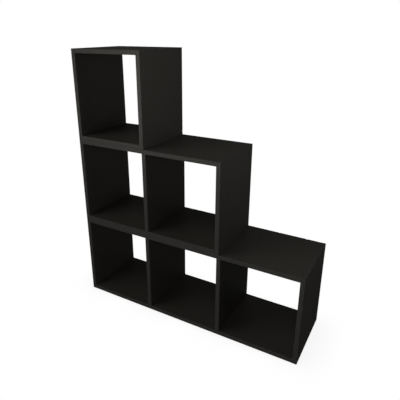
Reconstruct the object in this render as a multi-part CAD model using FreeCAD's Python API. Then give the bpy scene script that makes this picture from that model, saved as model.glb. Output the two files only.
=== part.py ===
import FreeCAD, Part
import os

# Staircase bookshelf: three open carcasses of faced board, stacked in steps. The lower one has three
# compartments side by side, the middle one two and the upper one one. They stand flush at the left, the front
# and the back, and screws hold each one to the carcass below it. Nothing on the shelf moves.
#
# Millimetres. +X is to the right, +Y to the back and +Z up. The origin is on the floor, at the middle of the
# lower carcass.

# Carcasses, from the floor up: the name of the row, and its dividers from left to right
ROWS = (
    ("lower", ("left_divider", "right_divider")),
    ("middle", ("divider",)),
    ("upper", ()),
)
COLUMN_WIDTH = 350.0         # a carcass is this wide for each of its compartments
ROW_HEIGHT = 387.0           # underside to top of one carcass
DEPTH = 312.0                # front to back, over the edging
BOARD = 18.0                 # thickness of every board

# Edging, glued round the edges that show
EDGING = 1.0                 # thickness of a strip
EDGING_ROUND = 0.6           # rounding of its two long outer edges
EDGING_ROUND_SHARE = 0.9     # most of a strip's thickness that the rounding may take

# Places of the fittings
CAM_INSET = 50.0             # front or back face to the nearest cam bolt
DOWEL_PITCH = 32.0           # cam bolt to the dowel beside it
SCREW_INSET = 60.0           # front or back face to a stacking screw
SCREW_END_INSET = 90.0       # outer side of the carcass above to a stacking screw

# Clearances
FIT = 0.1                    # round a fitting in its bore
PLAY = 0.3                   # round a cam bolt's neck and head inside its cam
OVERRUN = 1.0                # how far a cutting shape runs past the face that it opens

# Cam bolt: its thread bites into the face of one board, its head is gripped by the cam in the other
BOLT_BITE = 11.0             # length of the thread
BOLT_PITCH = 2.0             # one turn of the thread, drawn as a ridge
BOLT_CREST_RADIUS = 3.1
BOLT_ROOT_RADIUS = 2.3
BOLT_SHANK_RADIUS = 2.9
BOLT_NECK_RADIUS = 1.9
BOLT_HEAD_RADIUS = 3.2
BOLT_HEAD_LENGTH = 2.8
BOLT_BORE_PLAY = 0.8         # round the head in the bore that it is pushed through

# Cam: a round cup, let into the board's face, open towards the bolt
CAM_SETBACK = 24.0           # end of the board to the middle of the cam
CAM_RADIUS = 7.4
CAM_WALL = 1.8
CAM_FLOOR = 0.6              # how far the cup reaches past the bolt's head
CAM_SUNK = 0.3               # top of the cam below the board's face
CAM_CROSS_LENGTH = 6.4       # cross recess for the screwdriver
CAM_CROSS_WIDTH = 1.4
CAM_CROSS_DEPTH = 2.2

# Cover, clipped into the cross recess of a cam that would show
COVER_RIM = 1.2              # overlap on the board round the cam's bore
COVER_THICKNESS = 0.9
COVER_ROUND = 0.5            # rounding of the outer edge
COVER_ROUND_SHARE = 0.8      # most of the cover's thickness that the rounding may take

# Dowel
DOWEL_RADIUS = 4.0
DOWEL_LENGTH = 30.0
DOWEL_BITE = 11.0            # length of it in the face of one board, the rest is in the end of the other
DOWEL_CHAMFER = 1.0

# Stacking screw, driven up through a top panel into the bottom panel that stands on it
SCREW_BITE = 12.0            # length of it in the upper board
SCREW_RADIUS = 2.0
SCREW_HEAD_RADIUS = 4.0
SCREW_HEAD_LIP = 0.4         # straight edge of the countersunk head
SCREW_TIP = 4.0
SCREW_CROSS_LENGTH = 4.4
SCREW_CROSS_WIDTH = 1.0
SCREW_CROSS_DEPTH = 1.6

# Worked out from the values above
carcass_left = -COLUMN_WIDTH * (len(ROWS[0][1]) + 1) / 2
front = -DEPTH / 2
back = DEPTH / 2
cam_top = BOARD / 2 - CAM_SUNK
cam_bottom = -BOLT_HEAD_RADIUS - PLAY - CAM_FLOOR
cam_inner_radius = CAM_RADIUS - CAM_WALL
bolt_head_start = CAM_SETBACK - cam_inner_radius + PLAY
bolt_neck_start = CAM_SETBACK - CAM_RADIUS - PLAY
cover_radius = CAM_RADIUS + FIT + COVER_RIM
screw_length = BOARD + SCREW_BITE

RIGHT = FreeCAD.Vector(1, 0, 0)
BACK = FreeCAD.Vector(0, 1, 0)
UP = FreeCAD.Vector(0, 0, 1)

cores = {}       # board name to its solid before drilling
bores = {}       # board name to the shapes drilled out of it
pieces = {}      # node name to its finished solids


def block(low, high):
    """Box between two corners."""
    size = [end - start for start, end in zip(low, high)]
    return Part.makeBox(*size, FreeCAD.Vector(*low))


def turned(outline):
    """Solid turned about the X axis from (distance along X, radius) points that start and end on the axis."""
    points = [FreeCAD.Vector(along, radius, 0) for along, radius in outline]
    face = Part.Face(Part.makePolygon(points + points[:1]))
    return face.revolve(FreeCAD.Vector(), RIGHT, 360)


def rod(start, end, radius):
    """Plain cylinder along the X axis."""
    return Part.makeCylinder(radius, end - start, RIGHT * start, RIGHT)


def cross_bars(length, width, low, high):
    """Two crossed bars about the Z axis, from height low to height high."""
    first = block((-length / 2, -width / 2, low), (length / 2, width / 2, high))
    second = block((-width / 2, -length / 2, low), (width / 2, length / 2, high))
    return first.fuse(second).removeSplitter()


def seat(at, into, facing):
    """Placement at a point, with X running into a board and Z pointing out of the face named."""
    return FreeCAD.Placement(at, FreeCAD.Rotation(into, facing.cross(into), facing, "ZXY"))


def placed(shape, placement):
    """Copy of a shape made at the origin, moved to its seat."""
    copy = shape.copy()
    copy.Placement = placement.multiply(copy.Placement)
    return copy


def strip(low, high, outward):
    """Edging strip: of its four long edges, the two on the outward side are rounded."""
    plain = block(low, high)
    by_length = sorted(plain.Edges, key=lambda edge: edge.Length)
    long_edges = by_length[-4:]
    rounded = sorted(long_edges, key=lambda edge: edge.CenterOfMass.dot(outward))[-2:]
    return plain.makeFillet(min(EDGING_ROUND, EDGING * EDGING_ROUND_SHARE), rounded)


def add_board(name, left, right, low, high, banded_ends=False):
    """One board with its edging: front and back edges always, top and bottom ends where asked for."""
    inner_front = front + EDGING
    inner_back = back - EDGING
    strips = [
        strip((left, front, low), (right, inner_front, high), -BACK),
        strip((left, inner_back, low), (right, back, high), BACK),
    ]
    core_low, core_high = low, high
    if banded_ends:
        core_low = low + EDGING
        core_high = high - EDGING
        strips.append(strip((left, inner_front, low), (right, inner_back, core_low), -UP))
        strips.append(strip((left, inner_front, core_high), (right, inner_back, high), UP))
    cores[name] = block((left, inner_front, core_low), (right, inner_back, core_high))
    bores[name] = []
    pieces[name + "_edging"] = strips


def cam_bolt():
    """Bolt along X: thread below zero, then shank, neck and head inside the cam."""
    outline = [(-BOLT_BITE, 0)]
    for turn in range(int(BOLT_BITE / BOLT_PITCH)):
        turn_start = turn * BOLT_PITCH - BOLT_BITE
        outline.append((turn_start, BOLT_ROOT_RADIUS))
        outline.append((turn_start + BOLT_PITCH / 2, BOLT_CREST_RADIUS))
    outline += [
        (0, BOLT_ROOT_RADIUS),
        (0, BOLT_SHANK_RADIUS),
        (bolt_neck_start, BOLT_SHANK_RADIUS),
        (bolt_neck_start, BOLT_NECK_RADIUS),
        (bolt_head_start, BOLT_NECK_RADIUS),
        (bolt_head_start, BOLT_HEAD_RADIUS),
        (bolt_head_start + BOLT_HEAD_LENGTH, BOLT_HEAD_RADIUS),
        (bolt_head_start + BOLT_HEAD_LENGTH, 0),
    ]
    return turned(outline)


def cam():
    """Cam cup about its own Z axis, with the bolt coming in along X at height zero."""
    outer = CAM_RADIUS + OVERRUN
    below = cam_bottom - OVERRUN
    neck = BOLT_NECK_RADIUS + PLAY
    head = BOLT_HEAD_RADIUS + PLAY
    body = Part.makeCylinder(CAM_RADIUS, cam_top - cam_bottom, UP * cam_bottom)
    hollow = Part.makeCylinder(cam_inner_radius, head - below, UP * below)
    head_seat = rod(-cam_inner_radius, 0, head)
    neck_slot = block((-outer, -neck, below), (0, neck, neck))
    head_slot = block((-head, 0, below), (head, outer, head))
    cross = cross_bars(CAM_CROSS_LENGTH, CAM_CROSS_WIDTH, cam_top - CAM_CROSS_DEPTH, cam_top + OVERRUN)
    return body.cut([hollow, head_seat, neck_slot, head_slot, cross])


def cam_cover():
    """Thin disc on the board's face, with a cross that clips into the cam."""
    face = BOARD / 2
    disc = Part.makeCylinder(cover_radius, COVER_THICKNESS, UP * face)
    rim = [edge for edge in disc.Edges if edge.Closed and edge.CenterOfMass.z > face + COVER_THICKNESS / 2]
    disc = disc.makeFillet(min(COVER_ROUND, COVER_THICKNESS * COVER_ROUND_SHARE), rim)
    clip_bottom = cam_top - CAM_CROSS_DEPTH + FIT
    clip_top = face + COVER_THICKNESS / 2
    clip = cross_bars(CAM_CROSS_LENGTH - FIT * 2, CAM_CROSS_WIDTH - FIT * 2, clip_bottom, clip_top)
    return disc.fuse(clip)


def dowel(margin=0):
    """Dowel along X, or with a margin the plain bore that holds it."""
    start = -DOWEL_BITE - margin
    end = DOWEL_LENGTH - DOWEL_BITE + margin
    if margin:
        return rod(start, end, DOWEL_RADIUS + margin)
    outline = [
        (start, 0),
        (start, DOWEL_RADIUS - DOWEL_CHAMFER),
        (start + DOWEL_CHAMFER, DOWEL_RADIUS),
        (end - DOWEL_CHAMFER, DOWEL_RADIUS),
        (end, DOWEL_RADIUS - DOWEL_CHAMFER),
        (end, 0),
    ]
    return turned(outline)


def stacking_screw(margin=0):
    """Countersunk screw along X, its head flush at zero, or with a margin the hole that it fills."""
    cone_end = SCREW_HEAD_LIP + SCREW_HEAD_RADIUS - SCREW_RADIUS
    head_radius = SCREW_HEAD_RADIUS + margin
    radius = SCREW_RADIUS + margin
    outline = [
        (-margin, 0),
        (-margin, head_radius),
        (SCREW_HEAD_LIP, head_radius),
        (cone_end, radius),
        (screw_length - SCREW_TIP + margin, radius),
        (screw_length + margin, 0),
    ]
    return turned(outline)


def stacking_screw_recess():
    """Cross recess in the head of a stacking screw."""
    bars = cross_bars(SCREW_CROSS_LENGTH, SCREW_CROSS_WIDTH, -OVERRUN, SCREW_CROSS_DEPTH)
    return placed(bars, seat(FreeCAD.Vector(), -UP, RIGHT))


def join(row, face_board, end_board, x, z, into, facing, covered):
    """Joint of a board's end to another board's face, alike at the front and at the back.

    The point (x, z) is on that face, half way through the end board. The cams let into the end board's facing
    side pull on bolts in the face board, and a dowel beside each one keeps the boards in line.
    """
    bolt_bore = rod(0, CAM_SETBACK, BOLT_HEAD_RADIUS + BOLT_BORE_PLAY)
    thread_bore = rod(-BOLT_BITE - FIT, 0, BOLT_CREST_RADIUS + FIT)
    cam_bore_bottom = cam_bottom - FIT
    cam_bore_top = BOARD / 2 + OVERRUN
    cam_bore = Part.makeCylinder(CAM_RADIUS + FIT, cam_bore_top - cam_bore_bottom, UP * cam_bore_bottom)
    for side in (-1, 1):
        cam_y = side * (DEPTH / 2 - CAM_INSET)
        dowel_y = side * (DEPTH / 2 - CAM_INSET - DOWEL_PITCH)
        bolt_seat = seat(FreeCAD.Vector(x, cam_y, z), into, facing)
        cam_seat = seat(FreeCAD.Vector(x, cam_y, z) + into * CAM_SETBACK, into, facing)
        dowel_seat = seat(FreeCAD.Vector(x, dowel_y, z), into, facing)
        dowel_bore = placed(dowel(FIT), dowel_seat)
        bores[face_board] += [placed(thread_bore, bolt_seat), dowel_bore]
        bores[end_board] += [placed(bolt_bore, bolt_seat), placed(cam_bore, cam_seat), dowel_bore]
        pieces[row + "_cam_bolts"].append(placed(cam_bolt(), bolt_seat))
        pieces[row + "_cams"].append(placed(cam(), cam_seat))
        pieces[row + "_dowels"].append(placed(dowel(), dowel_seat))
        if covered:
            pieces[row + "_cam_covers"].append(placed(cam_cover(), cam_seat))


def add_carcass(row, dividers, floor):
    """One open carcass: two sides, a bottom and a top between them, and its dividers."""
    left = carcass_left
    right = carcass_left + COLUMN_WIDTH * (len(dividers) + 1)
    top = floor + ROW_HEIGHT
    for kind in ("cam_bolts", "cams", "cam_covers", "dowels"):
        pieces[row + "_" + kind] = []
    add_board(row + "_left_side", left, left + BOARD, floor, top, banded_ends=True)
    add_board(row + "_right_side", right - BOARD, right, floor, top, banded_ends=True)
    add_board(row + "_bottom_panel", left + BOARD, right - BOARD, floor, floor + BOARD)
    add_board(row + "_top_panel", left + BOARD, right - BOARD, top - BOARD, top)
    panels = (("_bottom_panel", floor + BOARD / 2, False), ("_top_panel", top - BOARD / 2, True))
    for panel, height, covered in panels:
        join(row, row + "_left_side", row + panel, left + BOARD, height, RIGHT, -UP, covered)
        join(row, row + "_right_side", row + panel, right - BOARD, height, -RIGHT, -UP, covered)
    for number, divider in enumerate(dividers, start=1):
        middle = left + COLUMN_WIDTH * number
        name = row + "_" + divider
        add_board(name, middle - BOARD / 2, middle + BOARD / 2, floor + BOARD, top - BOARD)
        join(row, row + "_bottom_panel", name, middle, floor + BOARD, UP, -RIGHT, True)
        join(row, row + "_top_panel", name, middle, top - BOARD, -UP, -RIGHT, True)


def stack(lower_row, upper_row, upper_columns, seam):
    """Screws from below that hold one carcass on another, near the corners of the upper one."""
    upper_right = carcass_left + COLUMN_WIDTH * upper_columns
    screw = stacking_screw().cut(stacking_screw_recess())
    hole = stacking_screw(FIT)
    pieces[lower_row + "_stacking_screws"] = []
    for x in (carcass_left + SCREW_END_INSET, upper_right - SCREW_END_INSET):
        for y in (front + SCREW_INSET, back - SCREW_INSET):
            screw_seat = seat(FreeCAD.Vector(x, y, seam - BOARD), UP, RIGHT)
            bores[lower_row + "_top_panel"].append(placed(hole, screw_seat))
            bores[upper_row + "_bottom_panel"].append(placed(hole, screw_seat))
            pieces[lower_row + "_stacking_screws"].append(placed(screw, screw_seat))


for level, (row_name, row_dividers) in enumerate(ROWS):
    row_floor = ROW_HEIGHT * level
    add_carcass(row_name, row_dividers, row_floor)
    if level > 0:
        stack(ROWS[level - 1][0], row_name, len(row_dividers) + 1, row_floor)

for board_name, core in cores.items():
    pieces[board_name] = core.cut(bores[board_name]).Solids

os.makedirs("parts", exist_ok=True)
for node, solids in pieces.items():
    shape = solids[0] if len(solids) == 1 else Part.makeCompound(solids)
    shape.exportStep("parts/" + node + ".step")
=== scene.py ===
import math

import bpy
from mathutils import Euler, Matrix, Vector


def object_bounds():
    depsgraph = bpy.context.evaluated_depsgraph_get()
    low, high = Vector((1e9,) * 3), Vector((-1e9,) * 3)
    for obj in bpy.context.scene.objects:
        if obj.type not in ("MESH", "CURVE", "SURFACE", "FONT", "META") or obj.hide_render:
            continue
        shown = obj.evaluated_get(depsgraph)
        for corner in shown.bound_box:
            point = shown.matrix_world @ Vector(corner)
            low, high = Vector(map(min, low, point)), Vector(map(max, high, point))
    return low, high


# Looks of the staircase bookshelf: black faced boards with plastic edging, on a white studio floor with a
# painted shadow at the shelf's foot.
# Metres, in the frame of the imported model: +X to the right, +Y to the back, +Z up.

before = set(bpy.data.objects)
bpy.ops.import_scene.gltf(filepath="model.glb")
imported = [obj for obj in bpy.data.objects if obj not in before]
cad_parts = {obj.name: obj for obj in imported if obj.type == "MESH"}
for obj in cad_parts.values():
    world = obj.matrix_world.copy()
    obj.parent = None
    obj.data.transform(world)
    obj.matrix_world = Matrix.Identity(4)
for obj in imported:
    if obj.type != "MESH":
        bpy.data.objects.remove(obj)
cad_low, cad_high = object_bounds()
middle = (cad_low + cad_high) / 2

# Camera, from the photograph's straight edges
CAMERA_PLACE = (0.8065, -1.4661, 1.2335)
CAMERA_AZIMUTH = 30.03       # degrees that the view is turned from straight at the front
CAMERA_DOWN = 20.08          # degrees that the view is tilted down
CAMERA_ROLL = -0.10          # degrees
CAMERA_LEVEL = 90.0          # degrees from looking straight down, as a new camera does, to looking level
CAMERA_LENS = 37.26          # millimetres
CAMERA_SENSOR = 36.0         # millimetres
CAMERA_SHIFT = (0.0228, -0.0477)
CAMERA_REACH = 120.0         # nothing farther away is drawn

# Studio
FLOOR_HALF_WIDTH = 30.0
FLOOR_DROP = 0.0004          # floor below the shelf's underside, so that the two faces don't coincide
FLOOR_WHITE = 1.0            # brightness of the floor
FLOOR_PAINTED_SHADOW = 0.90           # and of the painted shadow on the floor where the shelf meets it
PAINTED_SHADOW_REACH = 0.15           # how far from the shelf the painted shadow fades out
OPEN_SHARE = 1.0             # share of open sky over a floor that stands clear
COVERED_SHARE = 0.45         # and over a floor beside the shelf, where the painted shadow is darkest
ROOM_LIGHT = 0.034           # strength of the light from all round
PURE_WHITE = (1.0, 1.0, 1.0)
WARM_WHITE = (1.0, 0.97, 0.89)

# Soft lamps, all turned to the shelf's middle: degrees from the front towards +X, degrees up, distance,
# width, height and watts
LAMPS = {
    "front_panel": (13.0, 0.0, 2.58, 1.24, 1.24, 6.0),
    "low_front_panel": (5.0, -12.0, 2.4, 0.8, 0.8, 39.5),
    "front_softbox": (23.0, 22.0, 1.65, 0.8, 0.8, 9.7),
    "left_panel": (-32.0, 4.0, 2.6, 1.0, 1.0, 9.1),
    "high_left_panel": (-47.0, 49.0, 2.65, 1.24, 1.24, 57.5),
    "right_softbox": (90.0, 24.0, 1.53, 0.8, 0.8, 8.0),
    "top_softbox": (0.0, 88.0, 1.8, 0.8, 0.8, 3.9),
    "high_back_panel": (180.0, 50.0, 2.6, 1.0, 1.0, 1.0),
    "right_back_panel": (140.0, 12.0, 2.6, 1.0, 1.0, 0.91),
    "low_back_panel": (150.0, -10.0, 2.6, 1.0, 1.0, 0.22),
    "left_fill": (-95.0, -8.0, 2.0, 0.6, 0.6, 8.0),
    "back_fill": (180.0, -11.0, 2.0, 0.3, 0.34, 20.0),
}
GLARE_FREE = ("low_front_panel", "high_left_panel")  # the strongest, as through polarising filters
EDGING_LAMP = "back_fill"    # lights the edging alone: the boards' faces would mirror it, low behind them
EDGING_ENDING = "_edging"    # end of the edging nodes' names

# Black facing of the boards: melamine with a fine pearl
BOARD_DARK = (0.0097, 0.0092, 0.0084)
BOARD_LIGHT = (0.0113, 0.0108, 0.0099)
BOARD_ROUGHNESS = (0.43, 0.47)
SMUDGE_SIZE = 0.22
SMUDGE_DETAIL = 3.0
MOTTLE_SIZE = 0.004
MOTTLE_DETAIL = 4.0
PEARL_SIZE = 0.0009
PEARL_DETAIL = 1.0
PEARL_DEPTH = 0.00003

# Black edging: extruded plastic strips with the same pearl and faint lines along them
EDGING_DARK = (0.0100, 0.0097, 0.0097)
EDGING_LIGHT = (0.0114, 0.0111, 0.0111)
EDGING_WORN = (0.0144, 0.0140, 0.0140)
EDGING_ROUGHNESS = (0.435, 0.465)
DRAWN_LINE_WIDTH = 0.0006
DRAWN_LINE_LENGTH = 0.12
EDGING_WEAR_WIDTH = 0.0008
EDGING_WEAR_PATCH = 0.03
EDGING_WEAR_DETAIL = 4.0

# Cam covers: moulded plastic with a sparked skin
COVER_DARK = (0.0100, 0.0097, 0.0092)
COVER_LIGHT = (0.0135, 0.0131, 0.0125)
COVER_ROUGHNESS = (0.50, 0.62)
SPARK_SIZE = 0.00025
SPARK_DETAIL = 2.0
SPARK_DEPTH = 0.000012

# Cams: die-cast zinc
ZINC_DULL = (0.36, 0.37, 0.39)
ZINC_BRIGHT = (0.56, 0.57, 0.59)
ZINC_ROUGHNESS = (0.34, 0.52)
ZINC_FLOW_SIZE = 0.004
ZINC_FLOW_DETAIL = 4.0
ZINC_PIT_SIZE = 0.0004
ZINC_PIT_DETAIL = 2.0
ZINC_PIT_DEPTH = 0.00001

# Cam bolts: zinc-plated steel
PLATE_DULL = (0.46, 0.46, 0.44)
PLATE_BRIGHT = (0.62, 0.63, 0.62)
PLATE_ROUGHNESS = (0.26, 0.40)
PLATE_PATCH_SIZE = 0.003
PLATE_PATCH_DETAIL = 3.0
PLATE_GRAIN_SIZE = 0.0003
PLATE_GRAIN_DETAIL = 1.0
PLATE_GRAIN_DEPTH = 0.000004

# Stacking screws: blackened steel, bright where the finish is rubbed off
BLACKING_DARK = (0.030, 0.029, 0.028)
BLACKING_LIGHT = (0.052, 0.051, 0.050)
BLACKING_WORN = (0.34, 0.33, 0.32)
BLACKING_ROUGHNESS = (0.42, 0.58)
BLACKING_PATCH_SIZE = 0.0018
BLACKING_PATCH_DETAIL = 4.0
BLACKING_GRAIN_DEPTH = 0.000005
SCREW_WEAR_WIDTH = 0.0003

# Dowels: beech with short dark flecks
BEECH_DARK = (0.36, 0.21, 0.105)
BEECH_LIGHT = (0.55, 0.37, 0.215)
BEECH_ROUGHNESS = (0.52, 0.68)
FLECK_WIDTH = 0.0004
FLECK_LENGTH = 0.003
FLECK_DEPTH = 0.00002

# All finishes
PLAIN, METAL = 0.0, 1.0      # how metallic a finish is
LINE_DETAIL = 2.0            # finer noise within drawn lines and flecks
NOISE_SPAN = (0.3, 0.7)      # most of a noise's values lie in this range
FULL_SPAN = (0.0, 1.0)
FLAT_LIKENESS = 1.0          # likeness of the rounded and the true normal on a flat face
ARRIS_LIKENESS = 0.88        # and on an arris
ACROSS_X, ACROSS_Y, ACROSS_Z = 0, 1, 2

# Sockets of the mixing nodes, which share names and so go by number
COLOUR_FACTOR, COLOUR_FIRST, COLOUR_SECOND, COLOUR_RESULT = 0, 6, 7, 2
SHADER_FIRST, SHADER_SECOND = 1, 2


def make_camera():
    """Camera at the photograph's viewing angle."""
    data = bpy.data.cameras.new("camera")
    data.sensor_width = CAMERA_SENSOR
    data.lens = CAMERA_LENS
    data.shift_x, data.shift_y = CAMERA_SHIFT
    data.clip_end = CAMERA_REACH
    camera = bpy.data.objects.new("camera", data)
    camera.location = CAMERA_PLACE
    tilt = math.radians(CAMERA_LEVEL - CAMERA_DOWN)
    turn = math.radians(CAMERA_AZIMUTH)
    roll = math.radians(CAMERA_ROLL)
    aimed = Euler((tilt, 0.0, turn), "XYZ").to_quaternion()
    rolled = Euler((0.0, 0.0, roll), "XYZ").to_quaternion()
    camera.rotation_mode = "QUATERNION"
    camera.rotation_quaternion = aimed @ rolled
    bpy.context.scene.collection.objects.link(camera)
    bpy.context.scene.camera = camera


def make_lamp(name, azimuth, up, distance, width, height, watts):
    """Soft lamp turned to the shelf's middle, out of the camera's sight."""
    turn, rise = math.radians(azimuth), math.radians(up)
    away = Vector((math.sin(turn) * math.cos(rise), -math.cos(turn) * math.cos(rise), math.sin(rise)))
    data = bpy.data.lights.new(name, "AREA")
    data.shape = "RECTANGLE"
    data.size, data.size_y = width, height
    data.energy = watts
    data.color = WARM_WHITE
    lamp = bpy.data.objects.new(name, data)
    lamp.location = middle + distance * away
    lamp.rotation_euler = (-away).to_track_quat("-Z", "Y").to_euler()
    lamp.visible_camera = False
    lamp.visible_glossy = name not in GLARE_FREE
    bpy.context.scene.collection.objects.link(lamp)


def make_lamps():
    """All the lamps, one of them linked to the edging alone."""
    for name, numbers in LAMPS.items():
        make_lamp(name, *numbers)
    lit = bpy.data.collections.new("lit_by_" + EDGING_LAMP)
    for name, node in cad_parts.items():
        if name.endswith(EDGING_ENDING):
            lit.objects.link(node)
    bpy.data.objects[EDGING_LAMP].light_linking.receiver_collection = lit


def add(tree, kind, inputs, **settings):
    """New node, with inputs that are plain values or other nodes' outputs."""
    node = tree.nodes.new(kind)
    for name, value in settings.items():
        setattr(node, name, value)
    for name, value in inputs.items():
        if isinstance(value, bpy.types.NodeSocket):
            tree.links.new(value, node.inputs[name])
        else:
            node.inputs[name].default_value = value
    return node


def opaque(colour):
    """Colour with full alpha."""
    return (*colour, 1.0)


def ranged(tree, value, span, wanted):
    """A value brought from one range to another, and kept within it."""
    limits = {"From Min": span[0], "From Max": span[1], "To Min": wanted[0], "To Max": wanted[1]}
    return add(tree, "ShaderNodeMapRange", {"Value": value, **limits}).outputs["Result"]


def new_material(name):
    """Material with its nodes and its shader."""
    material = bpy.data.materials.new(name)
    material.use_nodes = True
    return material, material.node_tree, material.node_tree.nodes["Principled BSDF"]


def make_room():
    """White background for the camera, and a dim even light for the shelf."""
    world = bpy.data.worlds.new("studio")
    world.use_nodes = True
    tree = world.node_tree
    tree.nodes.clear()
    seen = add(tree, "ShaderNodeBackground", {"Color": opaque(PURE_WHITE)})
    lighting = add(tree, "ShaderNodeBackground", {"Color": opaque(WARM_WHITE), "Strength": ROOM_LIGHT})
    path = add(tree, "ShaderNodeLightPath", {})
    mix = add(tree, "ShaderNodeMixShader", {
        "Fac": path.outputs["Is Camera Ray"],
        SHADER_FIRST: lighting.outputs["Background"],
        SHADER_SECOND: seen.outputs["Background"],
    })
    add(tree, "ShaderNodeOutputWorld", {"Surface": mix.outputs["Shader"]})
    bpy.context.scene.world = world


def make_floor():
    """White glowing floor with a painted shadow around the shelf's foot; it neither lights nor shades the
    shelf, nor shows in it.
    """
    half = FLOOR_HALF_WIDTH
    level = cad_low.z - FLOOR_DROP
    corners = [(-half, -half, level), (half, -half, level), (half, half, level), (-half, half, level)]
    mesh = bpy.data.meshes.new("floor")
    mesh.from_pydata(corners, [], [(0, 1, 2, 3)])
    floor = bpy.data.objects.new("floor", mesh)
    material, tree, shader = new_material("floor_white_painted_shadow")
    # Painted shadow: the floor's glow is dimmed where ambient occlusion finds the shelf near
    sky = add(tree, "ShaderNodeAmbientOcclusion", {"Distance": PAINTED_SHADOW_REACH}).outputs["AO"]
    white = ranged(tree, sky, (COVERED_SHARE, OPEN_SHARE), (FLOOR_PAINTED_SHADOW, FLOOR_WHITE))
    glow = add(tree, "ShaderNodeEmission", {"Strength": white})
    tree.links.new(glow.outputs["Emission"], tree.nodes["Material Output"].inputs["Surface"])
    tree.nodes.remove(shader)
    mesh.materials.append(material)
    floor.visible_diffuse = False
    floor.visible_glossy = False
    floor.visible_shadow = False
    bpy.context.scene.collection.objects.link(floor)


def surface_place(tree):
    """Place on the part, in metres."""
    return add(tree, "ShaderNodeTexCoord", {}).outputs["Object"]


def speckle(tree, place, size, detail):
    """Noise whose patches are about this size."""
    noise = add(tree, "ShaderNodeTexNoise", {"Vector": place, "Scale": 1 / size, "Detail": detail})
    return noise.outputs["Fac"]


def lines(tree, place, width, length, across):
    """Noise drawn out into lines, with one axis across them."""
    scale = [1 / length] * 3
    scale[across] = 1 / width
    stretched = add(tree, "ShaderNodeVectorMath", {0: place, 1: scale}, operation="MULTIPLY")
    return speckle(tree, stretched.outputs["Vector"], 1.0, LINE_DETAIL)


def share(tree, noise):
    """A noise spread out over 0 to 1."""
    return ranged(tree, noise, NOISE_SPAN, FULL_SPAN)


def shades(tree, amount, first, second):
    """Colour between two colours, by an amount from 0 to 1."""
    inputs = {COLOUR_FACTOR: amount}
    for socket, colour in ((COLOUR_FIRST, first), (COLOUR_SECOND, second)):
        inputs[socket] = opaque(colour) if isinstance(colour, tuple) else colour
    return add(tree, "ShaderNodeMix", inputs, data_type="RGBA").outputs[COLOUR_RESULT]


def relief(tree, height, depth):
    """Normal of a surface whose noise stands this high."""
    return add(tree, "ShaderNodeBump", {"Height": height, "Distance": depth}).outputs["Normal"]


def rubbed(tree, width, patches):
    """Wear from 0 to 1: on the arrises, within this width, and broken up by a noise."""
    rounded = add(tree, "ShaderNodeBevel", {"Radius": width}).outputs["Normal"]
    true = add(tree, "ShaderNodeNewGeometry", {}).outputs["Normal"]
    likeness = add(tree, "ShaderNodeVectorMath", {0: rounded, 1: true}, operation="DOT_PRODUCT")
    arris = ranged(tree, likeness.outputs["Value"], (FLAT_LIKENESS, ARRIS_LIKENESS), FULL_SPAN)
    wear = add(tree, "ShaderNodeMath", {0: arris, 1: share(tree, patches)}, operation="MULTIPLY")
    return wear.outputs["Value"]


def finish(tree, shader, colour, roughness, normal, metallic=PLAIN):
    """Gives a shader the three outputs that make up a finish."""
    shader.inputs["Metallic"].default_value = metallic
    for socket, output in (("Base Color", colour), ("Roughness", roughness), ("Normal", normal)):
        tree.links.new(output, shader.inputs[socket])


def board_facing():
    """Black melamine: fine pearl, faint mottling, and wiped patches that shine a little differently."""
    material, tree, shader = new_material("black_board")
    place = surface_place(tree)
    smudge = speckle(tree, place, SMUDGE_SIZE, SMUDGE_DETAIL)
    mottle = speckle(tree, place, MOTTLE_SIZE, MOTTLE_DETAIL)
    pearl = speckle(tree, place, PEARL_SIZE, PEARL_DETAIL)
    colour = shades(tree, share(tree, mottle), BOARD_DARK, BOARD_LIGHT)
    roughness = ranged(tree, smudge, NOISE_SPAN, BOARD_ROUGHNESS)
    finish(tree, shader, colour, roughness, relief(tree, pearl, PEARL_DEPTH))
    return material


def edging(name, across):
    """Black plastic strip with drawn lines along it, and arrises rubbed a little lighter."""
    material, tree, shader = new_material(name)
    place = surface_place(tree)
    drawn = lines(tree, place, DRAWN_LINE_WIDTH, DRAWN_LINE_LENGTH, across)
    pearl = speckle(tree, place, PEARL_SIZE, PEARL_DETAIL)
    patches = speckle(tree, place, EDGING_WEAR_PATCH, EDGING_WEAR_DETAIL)
    worn = rubbed(tree, EDGING_WEAR_WIDTH, patches)
    plastic = shades(tree, share(tree, drawn), EDGING_DARK, EDGING_LIGHT)
    colour = shades(tree, worn, plastic, EDGING_WORN)
    roughness = ranged(tree, drawn, NOISE_SPAN, EDGING_ROUGHNESS)
    finish(tree, shader, colour, roughness, relief(tree, pearl, PEARL_DEPTH))
    return material


def moulded_cover():
    """Black moulded plastic with a sparked skin."""
    material, tree, shader = new_material("black_cover")
    spark = speckle(tree, surface_place(tree), SPARK_SIZE, SPARK_DETAIL)
    colour = shades(tree, share(tree, spark), COVER_DARK, COVER_LIGHT)
    roughness = ranged(tree, spark, NOISE_SPAN, COVER_ROUGHNESS)
    finish(tree, shader, colour, roughness, relief(tree, spark, SPARK_DEPTH))
    return material


def cast_zinc():
    """Die-cast zinc: dull flow marks and fine pits."""
    material, tree, shader = new_material("cam_zinc")
    place = surface_place(tree)
    flow = speckle(tree, place, ZINC_FLOW_SIZE, ZINC_FLOW_DETAIL)
    pits = speckle(tree, place, ZINC_PIT_SIZE, ZINC_PIT_DETAIL)
    colour = shades(tree, share(tree, flow), ZINC_DULL, ZINC_BRIGHT)
    roughness = ranged(tree, flow, NOISE_SPAN, ZINC_ROUGHNESS)
    finish(tree, shader, colour, roughness, relief(tree, pits, ZINC_PIT_DEPTH), METAL)
    return material


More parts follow.
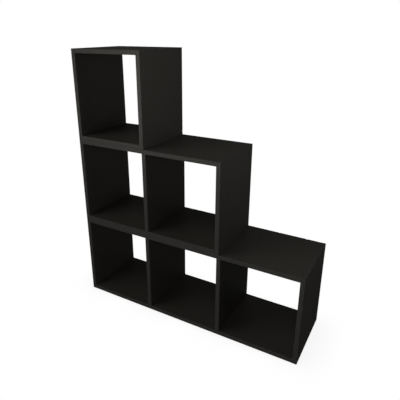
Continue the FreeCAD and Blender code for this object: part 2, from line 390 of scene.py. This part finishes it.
def plated_steel():
    """Zinc-plated steel: patches of brighter and duller plating over a fine grain."""
    material, tree, shader = new_material("bolt_steel")
    place = surface_place(tree)
    patches = speckle(tree, place, PLATE_PATCH_SIZE, PLATE_PATCH_DETAIL)
    grain = speckle(tree, place, PLATE_GRAIN_SIZE, PLATE_GRAIN_DETAIL)
    colour = shades(tree, share(tree, patches), PLATE_DULL, PLATE_BRIGHT)
    roughness = ranged(tree, patches, NOISE_SPAN, PLATE_ROUGHNESS)
    finish(tree, shader, colour, roughness, relief(tree, grain, PLATE_GRAIN_DEPTH), METAL)
    return material


def blackened_steel():
    """Blackened screws, bright on the rubbed arrises of the head."""
    material, tree, shader = new_material("screw_steel")
    patches = speckle(tree, surface_place(tree), BLACKING_PATCH_SIZE, BLACKING_PATCH_DETAIL)
    worn = rubbed(tree, SCREW_WEAR_WIDTH, patches)
    blacking = shades(tree, share(tree, patches), BLACKING_DARK, BLACKING_LIGHT)
    colour = shades(tree, worn, blacking, BLACKING_WORN)
    roughness = ranged(tree, patches, NOISE_SPAN, BLACKING_ROUGHNESS)
    finish(tree, shader, colour, roughness, relief(tree, patches, BLACKING_GRAIN_DEPTH), METAL)
    return material


def beech():
    """Pale beech with short dark flecks along the grain, which runs along X or Z."""
    material, tree, shader = new_material("dowel_beech")
    flecks = lines(tree, surface_place(tree), FLECK_WIDTH, FLECK_LENGTH, ACROSS_Y)
    colour = shades(tree, share(tree, flecks), BEECH_DARK, BEECH_LIGHT)
    roughness = ranged(tree, flecks, NOISE_SPAN, BEECH_ROUGHNESS)
    finish(tree, shader, colour, roughness, relief(tree, flecks, FLECK_DEPTH))
    return material


def dress():
    """Gives each CAD node the finish of its kind: the first one here whose ending fits the node's name."""
    finishes = {
        "panel_edging": edging("level_edging", ACROSS_Z),
        "edging": edging("upright_edging", ACROSS_X),
        "cam_bolts": plated_steel(),
        "cams": cast_zinc(),
        "cam_covers": moulded_cover(),
        "dowels": beech(),
        "stacking_screws": blackened_steel(),
        "": board_facing(),  # all that is left are boards
    }
    for name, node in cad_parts.items():
        kind = next(ending for ending in finishes if name.endswith(ending))
        node.data.materials.clear()
        node.data.materials.append(finishes[kind])


bpy.context.scene.view_settings.view_transform = "Standard"
make_camera()
make_room()
make_lamps()
make_floor()
dress()
